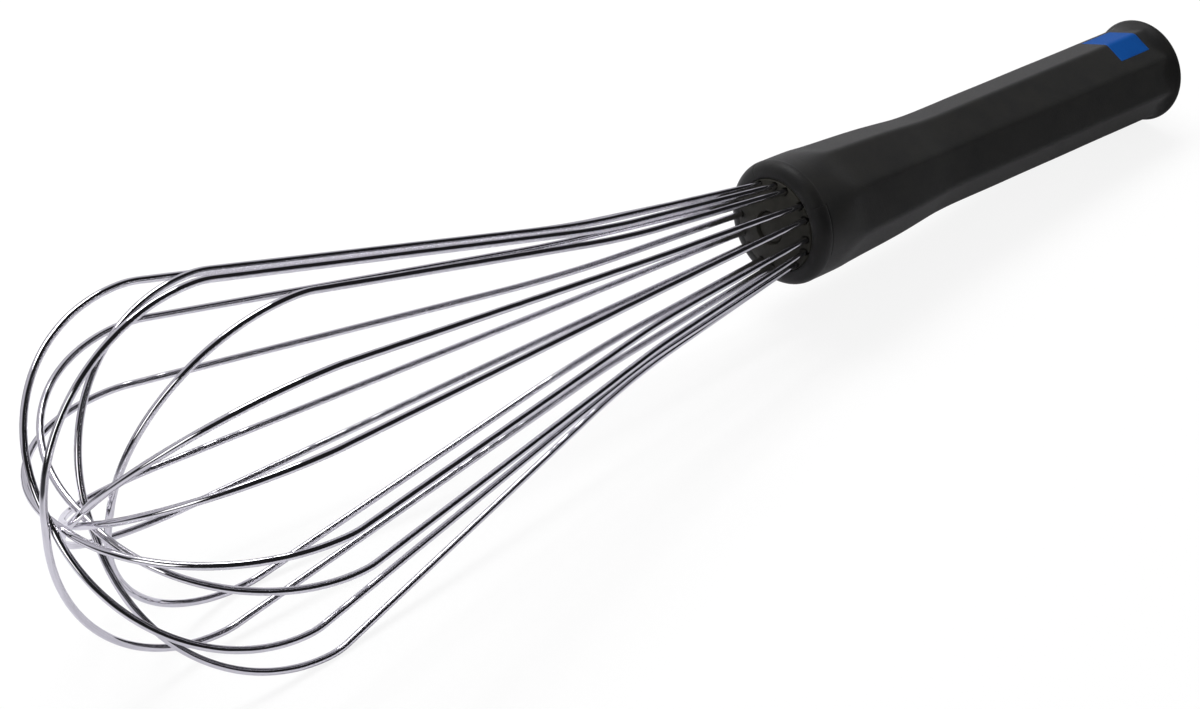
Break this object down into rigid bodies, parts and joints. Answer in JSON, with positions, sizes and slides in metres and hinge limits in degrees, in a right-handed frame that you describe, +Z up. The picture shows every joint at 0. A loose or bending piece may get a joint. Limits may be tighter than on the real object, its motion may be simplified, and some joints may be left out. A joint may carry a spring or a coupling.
{
  "type": "balloon whisk",
  "caption": "Balloon whisk: nested bright steel wire loops form a pear-shaped cage on a dark eight-sided moulded handle with a round collar at the butt.",
  "frame": {"origin": "on the table below the middle of the whisk's footprint, as it lies at rest on two wires and the collar", "axes": "+X along the length towards the butt of the handle, +Z up"},
  "size_m": [0.3518, 0.0842, 0.0836],
  "materials": {
    "handle": "fine grain",
    "plug": "matt",
    "band": "plain",
    "resin": "cast",
    "tag": "satin",
    "wire": "polished"
  },
  "bodies": {
    "root": {"handle_body": "handle", "mouth_plug": "plug", "tail_band": "band", "sealing_resin": "resin", "colour_tag": "tag", "wire_loop_1": "wire", "wire_loop_2": "wire", "wire_loop_3": "wire", "wire_loop_4": "wire", "wire_loop_5": "wire", "wire_loop_6": "wire", "wire_loop_7": "wire", "wire_loop_8": "wire"}
  },
  "joints": []
}
